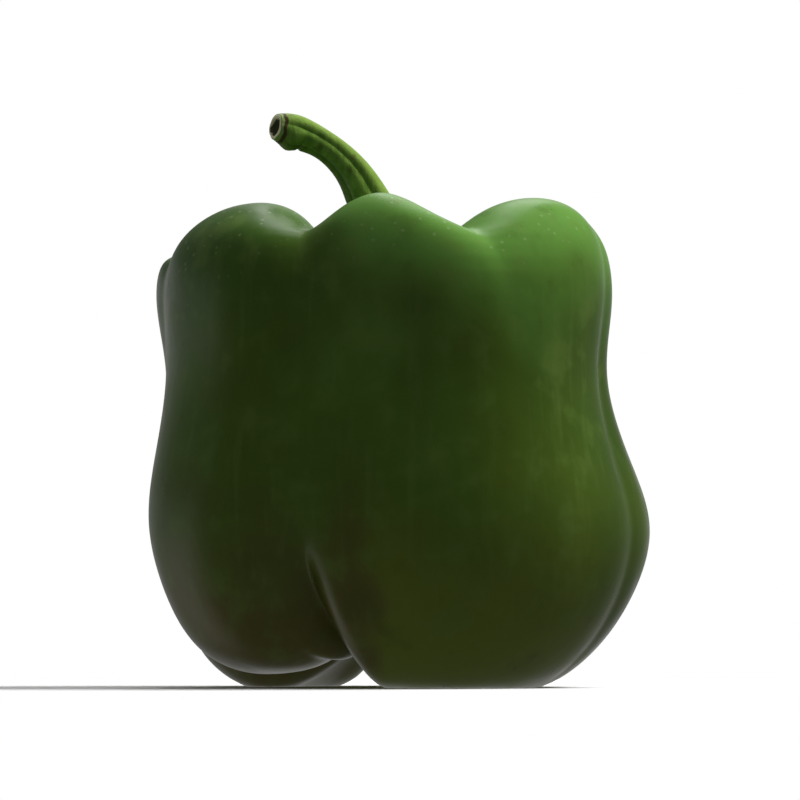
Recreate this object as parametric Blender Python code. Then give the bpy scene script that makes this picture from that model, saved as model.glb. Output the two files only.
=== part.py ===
"""A blocky green bell pepper that stands on the feet of its lobes.

It has three solids: the fruit, the calyx that lies in its stem cavity, and the cut stem.
The fruit is a sphere whose points are moved onto meridians. A meridian starts on the floor of the
stem cavity, climbs over the crown, runs down the side and turns under to the blossom dimple. Its
size follows the nearest lobes, and the furrows between lobes are pressed in along its normal.
Lengths are in millimetres and angles in degrees; the finished meshes are in metres.
"""

import bmesh
import bpy
import numpy as np

MM = 0.001
GAP = 0.4  # between the fruit and the calyx, and between the calyx and the stem

# The lobes, by azimuth round the fruit, with -90 facing the front. Each has the radius and height
# of its crown, its radius at SIDE_HEIGHTS, and the radius and height of its foot.
SIDE_HEIGHTS = (86, 76, 62, 46, 32, 17, 6)
LOBES = {
    # azimuth: crown, radii down the side, foot
    -97: ((30, 97.2), (41.0, 42.0, 41.0, 43.5, 45.0, 43.0, 36.5), (24, -0.2)),
    -146: ((31, 95.6), (47.6, 48.2, 47.5, 51.0, 54.0, 50.0, 43.0), (29, 2.8)),
    152: ((33, 90.5), (50.0, 50.8, 46.5, 48.0, 49.0, 45.6, 43.4), (29, -1.2)),
    86: ((29, 92.5), (41.0, 42.0, 41.0, 43.0, 45.0, 42.0, 34.0), (23, -0.6)),
    0: ((30, 93.5), (41.3, 42.2, 39.2, 45.2, 51.9, 46.2, 38.2), (24, -0.4)),
    -30: ((33, 96.8), (44.0, 44.7, 42.5, 46.0, 51.0, 47.2, 39.5), (26, -1.2)),
    -62: ((31, 96.3), (44.4, 45.2, 45.0, 47.0, 48.5, 46.0, 38.5), (25, -1.0)),
}
LOBE_FOCUS = 12.0  # larger keeps each lobe's sizes closer to its own azimuth
CAVITY_FLOOR = 80.0
DIMPLE_ROOF = 13.0

# The furrows. Azimuth and depth are given where a meridian passes the crown, shoulder, waist,
# belly, heel and foot. A width is how far a furrow reaches to its lower and higher azimuth side.
FURROW_STATIONS = (0.25, 0.36, 0.5, 0.61, 0.71, 0.82)
FURROWS = (
    # azimuths, depths, widths on the upper half, widths on the lower half
    ((-122, -119, -117, -117, -118, -109), (8, 1.8, 0, 0.8, 10, 7), (32, 29), (44, 14)),
    ((-74, -63, -58, -58, -58, -58), (8.7, 1.3, 0, 0, 0, 0), (28, 44), (20, 20)),
    ((-130, -130, -130, -130, -131, -124), (0, 0, 0, 0, 0.1, 1.3), (12, 12), (16, 9)),
    ((-15, -15, -18, -20, -20, -20), (0, 0.6, 1.1, 1.1, 0.6, 0), (12, 9), (12, 9)),
    ((40, 41, 42, 43, 44, 44), (8, 3, 1, 3, 9, 9), (36, 34), (34, 34)),
    ((122, 120, 118, 116, 112, 106), (8, 3, 1, 3, 9, 6), (30, 30), (30, 24)),
    ((180, 183, 184, 184, 182, 182), (6, 2, 0.8, 2, 8, 8), (28, 20), (26, 24)),
)
FURROW_ROUNDING = 1.5
FURROW_SHARPNESS = 2.6

FRUIT_SEGMENTS = 80
FRUIT_RINGS = 56

CALYX_REACH = 0.096  # how far along the meridians it lies
CALYX_LOBES = 5
CALYX_THICKNESS = 1.5
SEAT_HEIGHT = 83.4  # of the flat in the middle of the calyx, under the stem
CALYX_SEGMENTS = 50
CALYX_RINGS = 20

# The stem's centre line from its seat on the calyx to the cut end, with its radius there.
STEM_PATH = (
    (-1.0, 0.0, SEAT_HEIGHT + GAP, 6.2),
    (-1.0, 0.0, 86.5, 5.5),
    (-3.6, -0.2, 91.8, 5.0),
    (-6.7, -0.5, 98.2, 4.5),
    (-9.0, -0.9, 102.6, 3.7),
    (-12.3, -1.4, 106.3, 3.2),
    (-16.0, -1.9, 109.0, 3.0),
    (-19.6, -2.4, 110.6, 3.5),
    (-22.4, -3.5, 111.4, 3.7),
    (-24.8, -4.8, 111.9, 2.7),
)
STEM_RIBS = 5
STEM_RIB_DEPTH = 0.17
KNUCKLE_PLACE = 0.87  # how far up the path the stem swells on its underside
KNUCKLE_SWELL = 0.16
KNUCKLE_CREASE = 0.10
STEM_SEGMENTS = 40
STEM_RINGS = 44
STEM_FOOT_SHARE = 0.06  # share of the rings that close the seat
STEM_TIP_SHARE = 0.10  # share of the rings that close the cut end
PITH_DEPTH = 1.8


def clear_scene():
    for old in list(bpy.data.objects):
        bpy.data.objects.remove(old, do_unlink=True)


def smooth(x, start, end):
    """0 before start and 1 after end, or the other way round, eased between them."""
    share = np.clip((x - start) / (end - start), 0, 1)
    return share * share * (3 - 2 * share)


def spline(controls, along):
    """Points and tangents of a uniform cubic B-spline, at along in 0..1.

    controls has the shape (count, points, axes): one row of control points for each point asked.
    """
    spans = len(controls) - 3
    span = np.minimum((along * spans).astype(int), spans - 1)
    u = along * spans - span
    weights = ((1 - u) ** 3 / 6, (3 * u**3 - 6 * u**2 + 4) / 6,
               (-3 * u**3 + 3 * u**2 + 3 * u + 1) / 6, u**3 / 6)
    slopes = (-((1 - u) ** 2) / 2, (3 * u**2 - 4 * u) / 2, (-3 * u**2 + 2 * u + 1) / 2, u**2 / 2)
    each = np.arange(len(along))
    near = [controls[span + k, each] for k in range(4)]
    place = sum(w[:, None] * p for w, p in zip(weights, near))
    tangent = sum(s[:, None] * p for s, p in zip(slopes, near))
    return place, tangent


def lobe_sizes(azimuth):
    """Crown, side and foot sizes at each azimuth, blended from the lobes near it."""
    centres = np.radians(list(LOBES))
    sizes = np.array([crown + side + foot for crown, side, foot in LOBES.values()])
    pull = np.exp(LOBE_FOCUS * (np.cos(azimuth[:, None] - centres) - 1))
    return (pull @ sizes / pull.sum(axis=1, keepdims=True)).T


def meridian_controls(azimuth):
    """Control points, radius and height, of the meridian at each azimuth."""
    sizes = lobe_sizes(azimuth)
    crown_r, crown_z = sizes[:2]
    side = sizes[2:-2]
    foot_r, foot_z = sizes[-2:]
    level = np.ones_like(azimuth)
    points = [
        (-7 * level, (CAVITY_FLOOR + 0.3) * level),
        (0 * level, CAVITY_FLOOR * level),
        (7 * level, (CAVITY_FLOOR + 0.3) * level),
        (0.52 * crown_r, crown_z - 10),
        (0.78 * crown_r, crown_z - 0.2),
        (1.08 * crown_r, crown_z + 1.6),
        (0.25 * crown_r + 0.75 * side[0], crown_z - 3),
    ]
    points += [(radius, height * level) for radius, height in zip(side, SIDE_HEIGHTS)]
    points += [
        (foot_r + 3, foot_z - 1),
        (foot_r - 9, foot_z + 1),
        (5 * level, (DIMPLE_ROOF - 1) * level),
        (0 * level, DIMPLE_ROOF * level),
        (-5 * level, (DIMPLE_ROOF - 1) * level),
    ]
    return np.array([np.stack(pair, axis=-1) for pair in points])


def at_stations(along, values):
    """A furrow's value along a meridian, eased past each station."""
    steps = (-0.04, -0.02, 0.0, 0.02, 0.04)
    return sum(np.interp(along + step, FURROW_STATIONS, values) for step in steps) / len(steps)


def furrow_depth(azimuth, along):
    """How deep the furrows are pressed in at each point."""
    lower_half = smooth(along, 0.4, 0.7)
    ends = smooth(along, 0.04, 0.18) * smooth(along, 1.0, 0.93)
    total = np.zeros_like(along)
    for azimuths, depths, upper, lower in FURROWS:
        aside = np.degrees(azimuth) - at_stations(along, azimuths)
        aside = (aside + 180) % 360 - 180
        before = upper[0] + (lower[0] - upper[0]) * lower_half
        after = upper[1] + (lower[1] - upper[1]) * lower_half
        width = np.where(aside < 0, before, after)
        rounded = np.sqrt(aside**2 + FURROW_ROUNDING**2) - FURROW_ROUNDING
        wall = (1 - np.clip(rounded / width, 0, 1)) ** FURROW_SHARPNESS
        total += at_stations(along, depths) * ends * wall
    return total


def skin(azimuth, along, lift=0.0):
    """Points of the fruit's surface, lifted off it by lift, and never below the ground."""
    place, tangent = spline(meridian_controls(azimuth), along)
    normal = np.stack((-tangent[:, 1], tangent[:, 0]), axis=-1)
    normal /= np.linalg.norm(normal, axis=1, keepdims=True)
    rise = lift - furrow_depth(azimuth, along)
    radius, height = (place + normal * rise[:, None]).T
    return np.stack((radius * np.cos(azimuth), radius * np.sin(azimuth), np.maximum(height, 0)), axis=-1)


def sphere_object(name, segments, rings, move):
    """A sphere whose points are moved by move(azimuth, share of the way from top to bottom)."""
    mesh = bpy.data.meshes.new(name)
    bm = bmesh.new()
    bmesh.ops.create_uvsphere(bm, u_segments=segments, v_segments=rings, radius=1)
    ball = np.array([v.co[:] for v in bm.verts])
    azimuth = np.arctan2(ball[:, 1], ball[:, 0])
    along = np.arccos(np.clip(ball[:, 2], -1, 1)) / np.pi
    for vertex, place in zip(bm.verts, move(azimuth, along)):
        vertex.co = place * MM
    bm.to_mesh(mesh)
    bm.free()
    mesh.shade_smooth()
    return bpy.data.objects.new(name, mesh)


def calyx_points(azimuth, along):
    """A lobed cap: its top side on the first half of along, its underside on the second."""
    top = along < 0.5
    outward = np.where(top, 2 * along, 2 - 2 * along)
    reach = CALYX_REACH * (1 + 0.10 * np.cos(CALYX_LOBES * azimuth))
    ribs = 0.5 + 0.5 * np.cos(CALYX_LOBES * azimuth)
    thickness = CALYX_THICKNESS * (0.75 + 0.25 * ribs * outward) * np.sqrt(1 - outward**4)
    lift = GAP + np.where(top, np.maximum(thickness, 0.05), 0)
    points = skin(azimuth, reach * outward, lift)
    points[top, 2] = np.maximum(points[top, 2], SEAT_HEIGHT)
    return points


def stem_points(azimuth, along):
    """A ribbed stalk along STEM_PATH, closed flat at its seat and hollowed at its cut end."""
    on_path = np.clip((1 - along - STEM_FOOT_SHARE) / (1 - STEM_FOOT_SHARE - STEM_TIP_SHARE), 0, 1)
    nodes = np.array(STEM_PATH)
    nodes = np.concatenate(([2 * nodes[0] - nodes[1]], nodes, [2 * nodes[-1] - nodes[-2]]))
    place, tangent = spline(np.repeat(nodes[:, None], len(along), axis=1), on_path)
    centre, radius = place[:, :3], place[:, 3]
    forward = tangent[:, :3] / np.linalg.norm(tangent[:, :3], axis=1, keepdims=True)
    across = np.cross(forward, (0.0, 1.0, 0.0))
    across /= np.linalg.norm(across, axis=1, keepdims=True)
    third = np.cross(forward, across)
    rib_depth = STEM_RIB_DEPTH * (1 - 0.7 * smooth(on_path, 0.8, 1.0))
    ribs = 1 - rib_depth * (1 - np.abs(np.cos(azimuth * STEM_RIBS / 2))) ** 1.5
    underside = np.maximum(np.cos(azimuth), 0)
    ribs += underside * KNUCKLE_SWELL * np.exp(-(((on_path - KNUCKLE_PLACE) / 0.06) ** 2))
    ribs -= underside * KNUCKLE_CREASE * np.exp(-(((on_path - KNUCKLE_PLACE + 0.09) / 0.014) ** 2))
    seat = np.clip((1 - along) / STEM_FOOT_SHARE, 0, 1)
    tip = np.clip(along / STEM_TIP_SHARE, 0, 1)
    ring = radius * ribs * np.where(tip < 1, np.sin(tip * np.pi / 2), seat)
    push = 0.8 * np.cos(tip * np.pi / 2) - PITH_DEPTH * smooth(tip, 0.62, 0.2)
    centre = centre + forward * np.where(tip < 1, push, 0)[:, None]
    return centre + ring[:, None] * (np.cos(azimuth)[:, None] * across + np.sin(azimuth)[:, None] * third)


def material(name, colour, roughness):
    made = bpy.data.materials.new(name)
    made.use_nodes = True
    shader = made.node_tree.nodes["Principled BSDF"]
    shader.inputs["Base Color"].default_value = (*colour, 1)
    shader.inputs["Roughness"].default_value = roughness
    shader.inputs["Metallic"].default_value = 0.0
    return made


def stand_on_origin(parts):
    """Shift the parts so that the middle of the underside of their box is the origin."""
    corners = np.array([v.co[:] for part in parts for v in part.data.vertices])
    low, high = corners.min(axis=0), corners.max(axis=0)
    shift = np.array(((low[0] + high[0]) / 2, (low[1] + high[1]) / 2, low[2]))
    for part in parts:
        for vertex in part.data.vertices:
            vertex.co = np.array(vertex.co) - shift


def main():
    clear_scene()
    pepper = bpy.data.collections.new("bell_pepper")
    bpy.context.scene.collection.children.link(pepper)
    fruit = sphere_object("fruit", FRUIT_SEGMENTS, FRUIT_RINGS, skin)
    calyx = sphere_object("calyx", CALYX_SEGMENTS, CALYX_RINGS, calyx_points)
    stem = sphere_object("stem", STEM_SEGMENTS, STEM_RINGS, stem_points)
    fruit.data.materials.append(material("green_skin", (0.05, 0.11, 0.02), 0.25))
    calyx.data.materials.append(material("calyx_green", (0.10, 0.20, 0.04), 0.5))
    stem.data.materials.append(material("stem_green", (0.14, 0.25, 0.06), 0.5))
    parts = (fruit, calyx, stem)
    for part in parts:
        pepper.objects.link(part)
    stand_on_origin(parts)


main()
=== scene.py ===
"""The looks of a blocky green bell pepper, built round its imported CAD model.

The fruit, calyx and stem are made again as fine meshes, in the same shape as their CAD solids, and
each gets a procedural material. Lengths are in millimetres and angles in degrees until a mesh is
made; the scene itself is in metres.
"""

import bmesh
import bpy
import numpy as np
from mathutils import Matrix, Vector


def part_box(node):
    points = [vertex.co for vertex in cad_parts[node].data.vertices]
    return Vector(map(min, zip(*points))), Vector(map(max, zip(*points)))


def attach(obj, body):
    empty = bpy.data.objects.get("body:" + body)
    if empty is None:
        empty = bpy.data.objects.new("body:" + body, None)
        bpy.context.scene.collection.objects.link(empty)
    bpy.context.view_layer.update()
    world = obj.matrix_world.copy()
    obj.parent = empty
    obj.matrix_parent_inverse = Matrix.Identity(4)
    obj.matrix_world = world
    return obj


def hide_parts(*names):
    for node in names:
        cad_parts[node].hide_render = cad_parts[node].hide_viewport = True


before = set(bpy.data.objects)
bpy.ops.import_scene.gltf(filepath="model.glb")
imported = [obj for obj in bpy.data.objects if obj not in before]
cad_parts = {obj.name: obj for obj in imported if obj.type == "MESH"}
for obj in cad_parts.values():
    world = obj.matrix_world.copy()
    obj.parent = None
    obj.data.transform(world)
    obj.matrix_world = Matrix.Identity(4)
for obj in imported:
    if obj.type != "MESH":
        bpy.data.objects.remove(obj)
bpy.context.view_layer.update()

MM = 0.001

# ---------------------------------------------------------------- the fruit's shape

# The lobes, by azimuth round the fruit, with -90 facing the front. Each has the radius and height
# of its crown, its radius at SIDE_HEIGHTS, and the radius and height of its foot.
SIDE_HEIGHTS = (86, 76, 62, 46, 32, 17, 6)
LOBES = {
    # azimuth: crown, radii down the side, foot
    -97: ((30, 97.2), (41.0, 42.0, 41.0, 43.5, 45.0, 43.0, 36.5), (24, -0.2)),
    -146: ((31, 95.6), (47.6, 48.2, 47.5, 51.0, 54.0, 50.0, 43.0), (29, 2.8)),
    152: ((33, 90.5), (50.0, 50.8, 46.5, 48.0, 49.0, 45.6, 43.4), (29, -1.2)),
    86: ((29, 92.5), (41.0, 42.0, 41.0, 43.0, 45.0, 42.0, 34.0), (23, -0.6)),
    0: ((30, 93.5), (41.3, 42.2, 39.2, 45.2, 51.9, 46.2, 38.2), (24, -0.4)),
    -30: ((33, 96.8), (44.0, 44.7, 42.5, 46.0, 51.0, 47.2, 39.5), (26, -1.2)),
    -62: ((31, 96.3), (44.4, 45.2, 45.0, 47.0, 48.5, 46.0, 38.5), (25, -1.0)),
}
LOBE_FOCUS = 12.0  # larger keeps each lobe's sizes closer to its own azimuth
CAVITY_FLOOR = 80.0
DIMPLE_ROOF = 13.0

# The furrows. Azimuth and depth are given where a meridian passes the crown, shoulder, waist,
# belly, heel and foot. A width is how far a furrow reaches to its lower and higher azimuth side.
FURROW_STATIONS = (0.25, 0.36, 0.5, 0.61, 0.71, 0.82)
FURROWS = (
    # azimuths, depths, widths on the upper half, widths on the lower half
    ((-122, -119, -117, -117, -118, -109), (8, 1.8, 0, 0.8, 10, 7), (32, 29), (44, 14)),
    ((-74, -63, -58, -58, -58, -58), (8.7, 1.3, 0, 0, 0, 0), (28, 44), (20, 20)),
    ((-130, -130, -130, -130, -131, -124), (0, 0, 0, 0, 0.1, 1.3), (12, 12), (16, 9)),
    ((-15, -15, -18, -20, -20, -20), (0, 0.6, 1.1, 1.1, 0.6, 0), (12, 9), (12, 9)),
    ((40, 41, 42, 43, 44, 44), (8, 3, 1, 3, 9, 9), (36, 34), (34, 34)),
    ((122, 120, 118, 116, 112, 106), (8, 3, 1, 3, 9, 6), (30, 30), (30, 24)),
    ((180, 183, 184, 184, 182, 182), (6, 2, 0.8, 2, 8, 8), (28, 20), (26, 24)),
)
FURROW_ROUNDING = 1.5  # how blunt a furrow's bottom is, in degrees
FURROW_SHARPNESS = 2.6  # larger makes its walls steeper and its shoulders rounder

FRUIT_SEGMENTS = 320
FRUIT_RINGS = 240

# ---------------------------------------------------------------- the calyx's and stem's shapes

GAP = 0.1  # between the skin and the calyx
CALYX_REACH = 0.096  # how far along the meridians it lies
CALYX_LOBES = 5
CALYX_LOBE_DEPTH = 0.10  # how far its reach grows at a lobe and shrinks between two, as a share
CALYX_THICKNESS = 1.5
CALYX_EDGE = 0.05  # its least thickness
SEAT_HEIGHT = 83.4
CALYX_SEGMENTS = 240
CALYX_RINGS = 80

# The stem's centre line from its seat on the calyx to the cut end, with its radius there.
STEM_PATH = (
    (-1.0, 0.0, SEAT_HEIGHT - 0.5, 6.2),
    (-1.0, 0.0, 86.5, 5.5),
    (-3.6, -0.2, 91.8, 5.0),
    (-6.7, -0.5, 98.2, 4.5),
    (-9.0, -0.9, 102.6, 3.7),
    (-12.3, -1.4, 106.3, 3.2),
    (-16.0, -1.9, 109.0, 3.0),
    (-19.6, -2.4, 110.6, 3.5),
    (-22.4, -3.5, 111.4, 3.7),
    (-24.8, -4.8, 111.9, 2.7),
)
STEM_RIBS = 5
STEM_RIB_DEPTH = 0.17
KNUCKLE_PLACE = 0.87  # how far up the path the stem swells on its underside
KNUCKLE_WIDTH = 0.06
KNUCKLE_SWELL = 0.16
CREASE_BEFORE = 0.09  # how far down the path from the swelling its crease lies
CREASE_WIDTH = 0.014
CREASE_DEPTH = 0.10
STEM_SEGMENTS = 160
STEM_RINGS = 260
STEM_FOOT_SHARE = 0.06  # the share of the mesh, pole to pole, that closes its foot
STEM_TIP_SHARE = 0.10
TIP_DOME = 0.8
PITH_DEPTH = 1.8

# ---------------------------------------------------------------- the colours, in linear light

# The skin, from its broad patches to its marks, with painted light and shade set by place on the fruit.
# The left side has its own shoulder and foot.
DEEP_PATCHES = (0.064, 0.112, 0.010)
FRESH_PATCHES = (0.066, 0.136, 0.012)
# Painted shade, partly the skin's own colour: the right side is darker.
RIGHT_SIDE_COLOUR_AND_SHADE = (0.050, 0.096, 0.011)
# Painted shade: the left shoulder is darker.
LEFT_SHOULDER_SHADE = (0.044, 0.104, 0.010)
# Partly painted light, partly the skin's own colour: the shoulder is lighter.
SHOULDER_COLOUR_AND_LIGHT = (0.104, 0.245, 0.038)
LEFT_FOOT = (0.100, 0.094, 0.018)
OLIVE_FOOT = (0.128, 0.172, 0.017)
PALE_MOTTLE = (0.115, 0.190, 0.034)
DARK_MOTTLE = (0.050, 0.090, 0.010)
# Painted glints: pale specks on the crown stand for glints off tiny pits in the skin.
GLINT_SPECKS = (0.30, 0.42, 0.20)
STREAKS = (0.14, 0.22, 0.05)
# Painted shade: the right edge near the top is darker.
RIGHT_EDGE_SHADE = (0.030, 0.060, 0.008)

STEM_DARK_FIBRES = (0.080, 0.165, 0.018)
STEM_PALE_FIBRES = (0.165, 0.290, 0.045)
# Painted light: the stem's top side is paler.
STEM_LIT_TOP = (0.210, 0.330, 0.060)
STEM_PATCHES = (0.220, 0.340, 0.080)
# Painted shade: the stem's underside is darker.
STEM_SHADED_UNDERSIDE = (0.070, 0.115, 0.020)
STEM_STAINS = (0.075, 0.055, 0.018)
# The bands at the stem's cut end, by how far along the mesh they start and end.
STEM_TIP_BANDS = (
    (-0.05, 0.052, (0.060, 0.062, 0.022)),
    (0.052, 0.080, (0.800, 0.780, 0.500)),
    (0.080, 0.114, (0.200, 0.300, 0.090)),
    (0.114, 0.136, (0.055, 0.036, 0.012)),
)
BAND_BLUR = 0.004

CALYX_FLESH = (0.05, 0.12, 0.015)
CALYX_VEINS = (0.14, 0.22, 0.04)

FLOOR_GREY = (0.8, 0.8, 0.8)

# ---------------------------------------------------------------- floor, light and camera sizes

# These are in metres, apart from the camera's lens and sensor, which are in millimetres.
FLOOR_RADIUS = 0.2
KEY_PLACE = (0.72, 0.22, 1.0)
KEY_SIZE = 0.7
KEY_WATTS = 24
LAMP_TARGET = (0, 0, 0.05)
CAMERA_PLACE = (0, -1.78, 0.016)
CAMERA_TARGET = (0, 0, 0.0574)
CAMERA_LENS = 400.6
CAMERA_SENSOR = 36

# ---------------------------------------------------------------- the shape functions


def smooth(x, start, end):
    """0 before start and 1 after end, or the other way round, eased between them."""
    share = np.clip((x - start) / (end - start), 0, 1)
    return share * share * (3 - 2 * share)


def spline(controls, along):
    """Points and tangents of a uniform cubic B-spline, at along in 0..1.

    controls has the shape (count, points, axes): one row of control points for each point asked.
    """
    spans = len(controls) - 3
    span = np.minimum((along * spans).astype(int), spans - 1)
    u = along * spans - span
    weights = ((1 - u) ** 3 / 6, (3 * u**3 - 6 * u**2 + 4) / 6,
               (-3 * u**3 + 3 * u**2 + 3 * u + 1) / 6, u**3 / 6)
    slopes = (-((1 - u) ** 2) / 2, (3 * u**2 - 4 * u) / 2, (-3 * u**2 + 2 * u + 1) / 2, u**2 / 2)
    each = np.arange(len(along))
    near = [controls[span + k, each] for k in range(4)]
    place = sum(w[:, None] * p for w, p in zip(weights, near))
    tangent = sum(s[:, None] * p for s, p in zip(slopes, near))
    return place, tangent


def lobe_sizes(azimuth):
    """Crown, side and foot sizes at each azimuth, blended from the lobes near it."""
    centres = np.radians(list(LOBES))
    sizes = np.array([crown + side + foot for crown, side, foot in LOBES.values()])
    pull = np.exp(LOBE_FOCUS * (np.cos(azimuth[:, None] - centres) - 1))
    return (pull @ sizes / pull.sum(axis=1, keepdims=True)).T


def meridian_controls(azimuth):
    """Control points, radius and height, of the meridian at each azimuth."""
    sizes = lobe_sizes(azimuth)
    crown_r, crown_z = sizes[:2]
    side = sizes[2:-2]
    foot_r, foot_z = sizes[-2:]
    level = np.ones_like(azimuth)
    points = [
        (-7 * level, (CAVITY_FLOOR + 0.3) * level),
        (0 * level, CAVITY_FLOOR * level),
        (7 * level, (CAVITY_FLOOR + 0.3) * level),
        (0.52 * crown_r, crown_z - 10),
        (0.78 * crown_r, crown_z - 0.2),
        (1.08 * crown_r, crown_z + 1.6),
        (0.25 * crown_r + 0.75 * side[0], crown_z - 3),
    ]
    points += [(radius, height * level) for radius, height in zip(side, SIDE_HEIGHTS)]
    points += [
        (foot_r + 3, foot_z - 1),
        (foot_r - 9, foot_z + 1),
        (5 * level, (DIMPLE_ROOF - 1) * level),
        (0 * level, DIMPLE_ROOF * level),
        (-5 * level, (DIMPLE_ROOF - 1) * level),
    ]
    return np.array([np.stack(pair, axis=-1) for pair in points])


def at_stations(along, values):
    """A furrow's value along a meridian, eased past each station."""
    steps = (-0.04, -0.02, 0.0, 0.02, 0.04)
    return sum(np.interp(along + step, FURROW_STATIONS, values) for step in steps) / len(steps)


def furrow_depth(azimuth, along):
    """How deep the furrows are pressed in at each point."""
    lower_half = smooth(along, 0.4, 0.7)
    ends = smooth(along, 0.04, 0.18) * smooth(along, 1.0, 0.93)
    total = np.zeros_like(along)
    for azimuths, depths, upper, lower in FURROWS:
        aside = np.degrees(azimuth) - at_stations(along, azimuths)
        aside = (aside + 180) % 360 - 180
        before = upper[0] + (lower[0] - upper[0]) * lower_half
        after = upper[1] + (lower[1] - upper[1]) * lower_half
        width = np.where(aside < 0, before, after)
        rounded = np.sqrt(aside**2 + FURROW_ROUNDING**2) - FURROW_ROUNDING
        wall = (1 - np.clip(rounded / width, 0, 1)) ** FURROW_SHARPNESS
        total += at_stations(along, depths) * ends * wall
    return total


def skin(azimuth, along, lift=0.0):
    """Points of the fruit's surface, lifted off it by lift, and never below the ground."""
    place, tangent = spline(meridian_controls(azimuth), along)
    normal = np.stack((-tangent[:, 1], tangent[:, 0]), axis=-1)
    normal /= np.linalg.norm(normal, axis=1, keepdims=True)
    rise = lift - furrow_depth(azimuth, along)
    radius, height = (place + normal * rise[:, None]).T
    return np.stack((radius * np.cos(azimuth), radius * np.sin(azimuth), np.maximum(height, 0)), axis=-1)


def sphere_object(name, segments, rings, move):
    """A sphere whose points are moved by move(azimuth, share of the way from top to bottom)."""
    mesh = bpy.data.meshes.new(name)
    bm = bmesh.new()
    bmesh.ops.create_uvsphere(bm, u_segments=segments, v_segments=rings, radius=1)
    ball = np.array([v.co[:] for v in bm.verts])
    azimuth = np.arctan2(ball[:, 1], ball[:, 0])
    along = np.arccos(np.clip(ball[:, 2], -1, 1)) / np.pi
    bm.to_mesh(mesh)
    bm.free()
    mesh.vertices.foreach_set("co", (move(azimuth, along) * MM).ravel())
    for label, values in (("along", along), ("upward", -np.cos(azimuth))):
        mesh.attributes.new(label, "FLOAT", "POINT").data.foreach_set("value", values.astype(np.float32))
    mesh.update()
    mesh.shade_smooth()
    made = bpy.data.objects.new(name, mesh)
    bpy.context.scene.collection.objects.link(made)
    return made


def calyx_points(azimuth, along):
    """A lobed cap: its top side on the first half of along, its underside on the second."""
    top = along < 0.5
    outward = np.where(top, 2 * along, 2 - 2 * along)
    reach = CALYX_REACH * (1 + CALYX_LOBE_DEPTH * np.cos(CALYX_LOBES * azimuth))
    ribs = 0.5 + 0.5 * np.cos(CALYX_LOBES * azimuth)
    thickness = CALYX_THICKNESS * (0.75 + 0.25 * ribs * outward) * np.sqrt(1 - outward**4)
    lift = GAP + np.where(top, np.maximum(thickness, CALYX_EDGE), 0)
    points = skin(azimuth, reach * outward, lift)
    points[top, 2] = np.maximum(points[top, 2], SEAT_HEIGHT)
    return points


def stem_points(azimuth, along):
    """A ribbed stalk along STEM_PATH, closed flat at its seat and hollowed at its cut end."""
    on_path = np.clip((1 - along - STEM_FOOT_SHARE) / (1 - STEM_FOOT_SHARE - STEM_TIP_SHARE), 0, 1)
    nodes = np.array(STEM_PATH)
    nodes = np.concatenate(([2 * nodes[0] - nodes[1]], nodes, [2 * nodes[-1] - nodes[-2]]))
    place, tangent = spline(np.repeat(nodes[:, None], len(along), axis=1), on_path)
    centre, radius = place[:, :3], place[:, 3]
    forward = tangent[:, :3] / np.linalg.norm(tangent[:, :3], axis=1, keepdims=True)
    across = np.cross(forward, (0.0, 1.0, 0.0))
    across /= np.linalg.norm(across, axis=1, keepdims=True)
    third = np.cross(forward, across)
    rib_depth = STEM_RIB_DEPTH * (1 - 0.7 * smooth(on_path, 0.8, 1.0))
    ribs = 1 - rib_depth * (1 - np.abs(np.cos(azimuth * STEM_RIBS / 2))) ** 1.5
    underside = np.maximum(np.cos(azimuth), 0)
    past = on_path - KNUCKLE_PLACE
    ribs += underside * KNUCKLE_SWELL * np.exp(-((past / KNUCKLE_WIDTH) ** 2))
    ribs -= underside * CREASE_DEPTH * np.exp(-(((past + CREASE_BEFORE) / CREASE_WIDTH) ** 2))
    seat = np.clip((1 - along) / STEM_FOOT_SHARE, 0, 1)
    tip = np.clip(along / STEM_TIP_SHARE, 0, 1)
    ring = radius * ribs * np.where(tip < 1, np.sin(tip * np.pi / 2), seat)
    push = TIP_DOME * np.cos(tip * np.pi / 2) - PITH_DEPTH * smooth(tip, 0.62, 0.2)
    centre = centre + forward * np.where(tip < 1, push, 0)[:, None]
    return centre + ring[:, None] * (np.cos(azimuth)[:, None] * across + np.sin(azimuth)[:, None] * third)


# ---------------------------------------------------------------- materials


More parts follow.
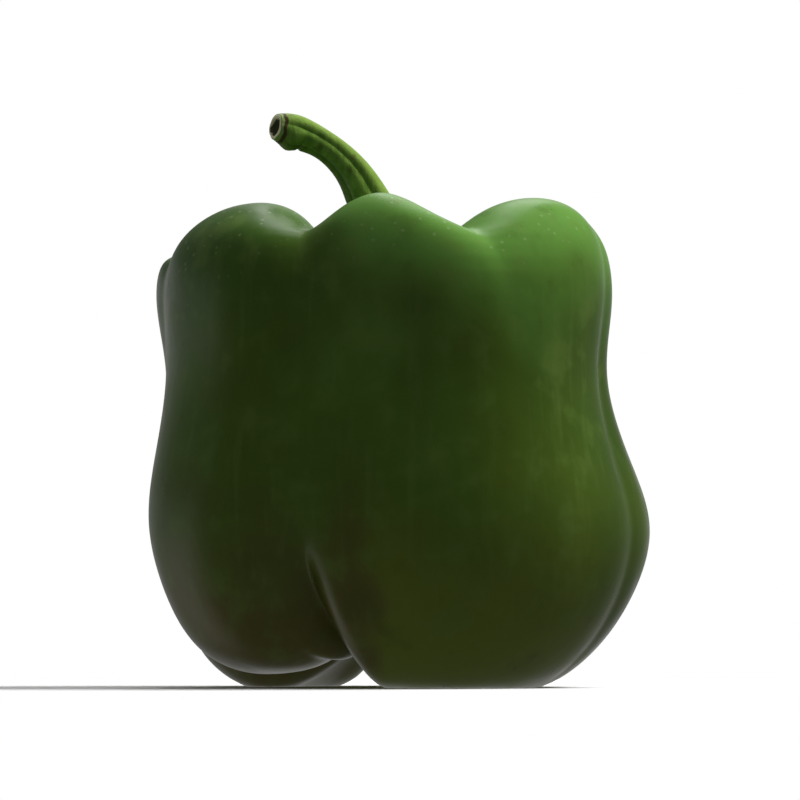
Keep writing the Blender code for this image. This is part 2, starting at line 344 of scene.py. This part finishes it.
class Nodes:
    """Short calls that add nodes to a material's or world's tree."""

    def __init__(self, owner):
        owner.use_nodes = True
        self.tree = owner.node_tree
        shader = "Background" if isinstance(owner, bpy.types.World) else "Principled BSDF"
        self.shader = self.tree.nodes[shader]

    def add(self, kind, **settings):
        """A new node with its settings."""
        node = self.tree.nodes.new(kind)
        for key, value in settings.items():
            setattr(node, key, value)
        return node

    def link(self, source, target):
        self.tree.links.new(source, target)

    def put(self, target, value):
        """Give a socket a value, or link another socket to it."""
        if isinstance(value, bpy.types.NodeSocket):
            self.link(value, target)
        else:
            target.default_value = value

    def place(self):
        """Coordinates on the piece itself, in metres."""
        return self.add("ShaderNodeTexCoord").outputs["Object"]

    def stored(self, label):
        """A number stored on the mesh: along runs pole to pole; upward is 1 on a stem's top side."""
        return self.add("ShaderNodeAttribute", attribute_name=label).outputs["Fac"]

    def axis(self, which):
        """One of those coordinates."""
        split = self.add("ShaderNodeSeparateXYZ")
        self.link(self.place(), split.inputs[0])
        return split.outputs[which]

    def math(self, operation, a, b=0.0):
        node = self.add("ShaderNodeMath", operation=operation)
        self.put(node.inputs[0], a)
        self.put(node.inputs[1], b)
        return node.outputs[0]

    def span(self, value, low, high, to_low=0.0, to_high=1.0):
        """Turn low..high into to_low..to_high, eased, and held beyond both ends."""
        node = self.add("ShaderNodeMapRange", interpolation_type="SMOOTHSTEP")
        self.put(node.inputs["Value"], value)
        node.inputs["From Min"].default_value = low
        node.inputs["From Max"].default_value = high
        node.inputs["To Min"].default_value = to_low
        node.inputs["To Max"].default_value = to_high
        return node.outputs[0]

    def noise(self, scale, detail=2.0, stretch=(1, 1, 1)):
        """Noise 0..1, with scale in cells per metre and stretch dividing it along X, Y and Z."""
        mapping = self.add("ShaderNodeMapping")
        self.link(self.place(), mapping.inputs["Vector"])
        mapping.inputs["Scale"].default_value = tuple(scale / s for s in stretch)
        node = self.add("ShaderNodeTexNoise")
        node.inputs["Scale"].default_value = 1.0
        node.inputs["Detail"].default_value = detail
        self.link(mapping.outputs[0], node.inputs["Vector"])
        return node.outputs["Fac"]

    def cells(self, scale):
        """How far the nearest of many scattered points is, as a share of their spacing, 1 / scale."""
        node = self.add("ShaderNodeTexVoronoi")
        node.inputs["Scale"].default_value = scale
        self.link(self.place(), node.inputs["Vector"])
        return node.outputs["Distance"]

    def mix(self, share, a, b):
        """Colour a where share is 0 and colour b where it is 1."""
        node = self.add("ShaderNodeMix", data_type="RGBA")
        self.put(node.inputs[0], share)
        for socket, value in ((node.inputs[6], a), (node.inputs[7], b)):
            self.put(socket, (*value, 1) if isinstance(value, tuple) else value)
        return node.outputs[2]

    def bump(self, height, distance, strength, normal=None):
        """A normal tilted by height, which stands for up to distance in metres."""
        node = self.add("ShaderNodeBump")
        node.inputs["Distance"].default_value = distance
        node.inputs["Strength"].default_value = strength
        self.link(height, node.inputs["Height"])
        if normal is not None:
            self.link(normal, node.inputs["Normal"])
        return node.outputs[0]


def skin_material():
    """Dark green, olive below, with mottles and streaks, and with painted light, shade and glints.

    Painted light and shade, set by place: a lighter shoulder and a darker right side, each partly colour
    too, and a darker left shoulder and right edge. Its pale specks on the crown are painted glints.
    """
    made = bpy.data.materials.new("pepper_skin")
    n = Nodes(made)
    right = n.axis("X")
    height = n.axis("Z")
    mottle = n.noise(140, 4)
    broad = n.noise(34, 2)
    wander = n.math("MULTIPLY", n.math("SUBTRACT", broad, 0.5), 0.05)
    level = n.math("ADD", height, wander)
    sideways = n.math("ADD", right, wander)
    colour = n.mix(n.span(broad, 0.38, 0.62), DEEP_PATCHES, FRESH_PATCHES)
    # Painted shade, partly colour: darker on the right side.
    colour = n.mix(n.span(sideways, 0.012, 0.034), colour, RIGHT_SIDE_COLOUR_AND_SHADE)
    # Painted light and shade on the shoulder: lighter in the middle and on the right, darker on the left.
    shoulder = n.mix(n.span(sideways, -0.024, -0.006), LEFT_SHOULDER_SHADE, SHOULDER_COLOUR_AND_LIGHT)
    colour = n.mix(n.span(level, 0.062, 0.090), colour, shoulder)
    olive = n.mix(n.span(sideways, -0.014, -0.004), LEFT_FOOT, OLIVE_FOOT)
    colour = n.mix(n.span(level, 0.046, 0.010), colour, olive)
    colour = n.mix(n.span(mottle, 0.50, 0.72, 0.0, 0.40), colour, PALE_MOTTLE)
    colour = n.mix(n.span(mottle, 0.48, 0.25, 0.0, 0.30), colour, DARK_MOTTLE)
    # Painted glints: pale specks on the crown.
    specks = n.math("MULTIPLY", n.span(n.cells(420), 0.20, 0.08), n.span(level, 0.075, 0.095))
    colour = n.mix(n.math("MULTIPLY", specks, 0.35), colour, GLINT_SPECKS)
    streaks = n.noise(420, 3, (1, 1, 16))
    colour = n.mix(n.span(streaks, 0.5, 0.8, 0.0, 0.22), colour, STREAKS)
    # Painted shade: darker at the right edge, near the top.
    edge = n.math("MULTIPLY", n.span(right, 0.035, 0.044), n.span(height, 0.088, 0.076))
    colour = n.mix(n.math("MULTIPLY", edge, 0.6), colour, RIGHT_EDGE_SHADE)
    n.link(colour, n.shader.inputs["Base Color"])
    n.link(n.span(mottle, 0.3, 0.7, 0.27, 0.36), n.shader.inputs["Roughness"])
    n.shader.inputs["Specular IOR Level"].default_value = 0.16
    n.link(n.bump(n.noise(160, 2), 0.0002, 0.35), n.shader.inputs["Normal"])
    return made


def stem_material():
    """Fibrous green, stained brown near the banded cut end, with painted light on top and painted shade
    underneath.
    """
    made = bpy.data.materials.new("stem_flesh")
    n = Nodes(made)
    along = n.stored("along")
    upward = n.stored("upward")
    fibres = n.noise(900, 3, (1, 1, 4))
    patches = n.noise(330, 4)
    stains = n.noise(240, 3, (1.6, 1, 1))
    colour = n.mix(n.span(fibres, 0.3, 0.7), STEM_DARK_FIBRES, STEM_PALE_FIBRES)
    # Painted light: paler on the top side.
    colour = n.mix(n.span(upward, 0.30, 0.85, 0.0, 0.75), colour, STEM_LIT_TOP)
    colour = n.mix(n.span(patches, 0.55, 0.75, 0.0, 0.6), colour, STEM_PATCHES)
    # Painted shade: darker on the underside.
    colour = n.mix(n.span(upward, -0.2, -0.9, 0.0, 0.5), colour, STEM_SHADED_UNDERSIDE)
    stained = n.math("ADD", stains, n.span(along, 0.34, 0.12, 0.0, 0.10))
    colour = n.mix(n.span(stained, 0.58, 0.72, 0.0, 0.75), colour, STEM_STAINS)
    ring = n.math("ADD", along, n.math("MULTIPLY", n.math("SUBTRACT", patches, 0.5), 0.05))
    for start, end, band in STEM_TIP_BANDS:
        inside = n.math("MULTIPLY", n.span(ring, start - BAND_BLUR, start + BAND_BLUR),
                        n.span(ring, end + BAND_BLUR, end - BAND_BLUR))
        colour = n.mix(inside, colour, band)
    n.link(colour, n.shader.inputs["Base Color"])
    n.shader.inputs["Roughness"].default_value = 0.5
    n.shader.inputs["Specular IOR Level"].default_value = 0.25
    rough = n.bump(patches, 0.0004, 0.6)
    n.link(n.bump(fibres, 0.0002, 0.7, rough), n.shader.inputs["Normal"])
    return made


def calyx_material():
    """Veined, dull green."""
    made = bpy.data.materials.new("calyx_flesh")
    n = Nodes(made)
    veins = n.noise(350, 3)
    colour = n.mix(n.span(veins, 0.35, 0.7), CALYX_FLESH, CALYX_VEINS)
    n.link(colour, n.shader.inputs["Base Color"])
    n.shader.inputs["Roughness"].default_value = 0.5
    n.link(n.bump(veins, 0.0002, 0.6), n.shader.inputs["Normal"])
    return made


# ---------------------------------------------------------------- floor, light and camera


def studio():
    """A round pale floor that takes the shadow but bounces no light back, one key light and the sky."""
    bpy.ops.mesh.primitive_circle_add(vertices=128, radius=FLOOR_RADIUS, fill_type="NGON")
    floor = bpy.context.object
    floor.name = "studio_floor"
    made = bpy.data.materials.new("floor_white")
    n = Nodes(made)
    n.shader.inputs["Base Color"].default_value = (*FLOOR_GREY, 1)
    n.shader.inputs["Roughness"].default_value = 0.7
    n.shader.inputs["Specular IOR Level"].default_value = 0.1
    floor.data.materials.append(made)
    floor.visible_diffuse = False
    floor.visible_glossy = False
    sky()
    area_light("key", KEY_PLACE, KEY_SIZE, KEY_WATTS)


def sky():
    """A dim room with a bright wall behind the pepper, while the camera sees plain white all round.

    The wall is brightest high up behind the middle. A glow on the left, level with the floor and
    below it, lights that rim. The numbers are of a ray's direction: side, depth and height are -1..1.
    """
    world = bpy.data.worlds.new("studio")
    bpy.context.scene.world = world
    n = Nodes(world)
    split = n.add("ShaderNodeSeparateXYZ")
    n.link(n.add("ShaderNodeTexCoord").outputs["Generated"], split.inputs[0])
    side, depth, height = split.outputs
    raised = n.math("ADD", depth, n.math("MULTIPLY", height, 0.40))
    off_centre = n.math("ABSOLUTE", n.math("SUBTRACT", side, 0.08))
    edges = n.math("MULTIPLY", n.span(side, 0.2, 0.6, 0.7, 0.15), n.span(height, 0.22, 0.02, 0.0, 1.2))
    centre = n.math("MULTIPLY", n.span(off_centre, 0.24, 0.10), n.span(height, 0.35, 0.80, 0.6, 3.0))
    bright = n.math("ADD", centre, edges)
    wall = n.math("MULTIPLY", n.span(raised, 0.30, 0.66), n.span(height, 0.0, 0.55, 0.35, 1.0))
    wall = n.math("MULTIPLY", wall, bright)
    overhead = n.span(height, 0.3, 1.0, 0.0, 0.15)
    low_left = n.math("ADD", n.math("MULTIPLY", side, -0.9), n.math("MULTIPLY", height, -0.45))
    low_left = n.math("MULTIPLY", n.span(low_left, 0.70, 1.0), n.span(depth, -0.25, 0.25))
    below = n.span(height, 0.0, -0.6, 0.145, 0.20)
    room = n.math("ADD", n.math("ADD", wall, overhead), n.math("ADD", low_left, below))
    seen = n.add("ShaderNodeLightPath").outputs["Is Camera Ray"]
    n.link(n.math("MAXIMUM", room, seen), n.shader.inputs["Strength"])
    n.shader.inputs["Color"].default_value = (1, 1, 1, 1)


def area_light(name, place, size, power):
    """A square lamp aimed at the pepper. It leaves no highlight: those are reflections of the sky."""
    data = bpy.data.lights.new(name, "AREA")
    data.size = size
    data.energy = power
    lamp = bpy.data.objects.new(name, data)
    bpy.context.scene.collection.objects.link(lamp)
    lamp.location = place
    lamp.visible_glossy = False
    aim = Vector(LAMP_TARGET) - Vector(place)
    lamp.rotation_euler = aim.to_track_quat("-Z", "Y").to_euler()


def camera():
    """A long lens just above the floor, which it sees nearly edge-on."""
    data = bpy.data.cameras.new("camera")
    data.lens = CAMERA_LENS
    data.sensor_width = CAMERA_SENSOR
    data.clip_end = 20
    eye = bpy.data.objects.new("camera", data)
    bpy.context.scene.collection.objects.link(eye)
    eye.location = CAMERA_PLACE
    aim = Vector(CAMERA_TARGET) - Vector(CAMERA_PLACE)
    eye.rotation_euler = aim.to_track_quat("-Z", "Y").to_euler()
    bpy.context.scene.camera = eye


# ---------------------------------------------------------------- the pepper


def fit_to_cad(pieces):
    """Shift the pieces together, so that the fruit stands where the CAD fruit does."""
    fruit = pieces[0]
    low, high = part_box("fruit")
    places = np.array([v.co[:] for v in fruit.data.vertices])
    shift = (np.array(low) + np.array(high)) / 2 - (places.min(axis=0) + places.max(axis=0)) / 2
    shift[2] = low[2] - places[:, 2].min()
    for piece in pieces:
        piece.data.transform(Matrix.Translation(shift))


def pepper():
    """The three pieces, with their materials, on the CAD model's only body."""
    fruit = sphere_object("fruit_skin", FRUIT_SEGMENTS, FRUIT_RINGS, skin)
    calyx = sphere_object("calyx_cap", CALYX_SEGMENTS, CALYX_RINGS, calyx_points)
    stem = sphere_object("stem_stalk", STEM_SEGMENTS, STEM_RINGS, stem_points)
    fit_to_cad((fruit, calyx, stem))
    for piece, node, slot, finish in (
        (fruit, "fruit", "skin", skin_material()),
        (calyx, "calyx", "calyx", calyx_material()),
        (stem, "stem", "stem", stem_material()),
    ):
        piece.data.materials.append(finish)
        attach(piece, "root")
        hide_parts(node)


pepper()
studio()
camera()
bpy.context.scene.view_settings.view_transform = "Standard"
